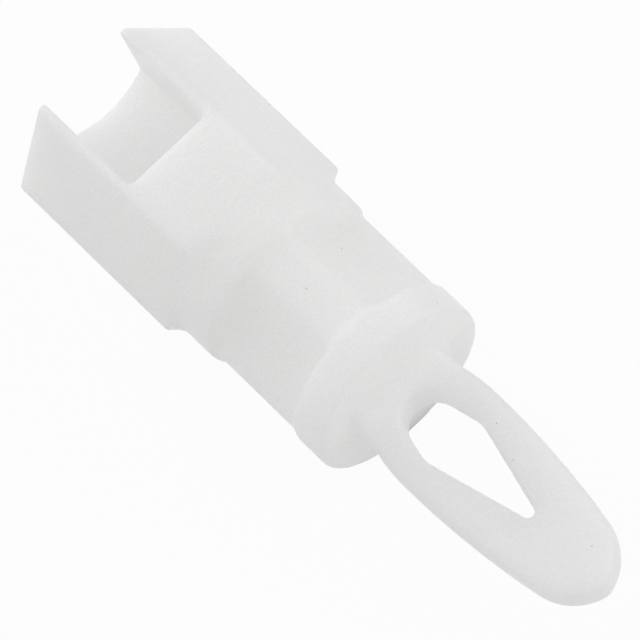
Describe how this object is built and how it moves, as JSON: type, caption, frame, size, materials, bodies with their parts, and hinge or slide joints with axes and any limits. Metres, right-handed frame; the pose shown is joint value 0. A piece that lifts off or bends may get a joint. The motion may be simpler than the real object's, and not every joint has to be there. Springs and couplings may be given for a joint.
{
  "type": "circuit board standoff",
  "caption": "Moulded nylon circuit board standoff: a hexagon sleeve with an open channel, a collar, a square waist, a drum, and an eyed snap loop that holds a board's hole.",
  "frame": {"origin": "on the part's axis, in the plane of the hexagon's open end", "axes": "+X runs along the axis from the hexagon's mouth to the nose of the loop; +Z is square to the hexagon face that the channel opens through, and to the flat sides of the loop; +Y completes a right-handed frame"},
  "size_m": [0.0232, 0.0072, 0.0064],
  "materials": {
    "nylon": "natural white moulded nylon with a soft satin sheen"
  },
  "bodies": {
    "root": {"standoff": "nylon"}
  },
  "joints": []
}
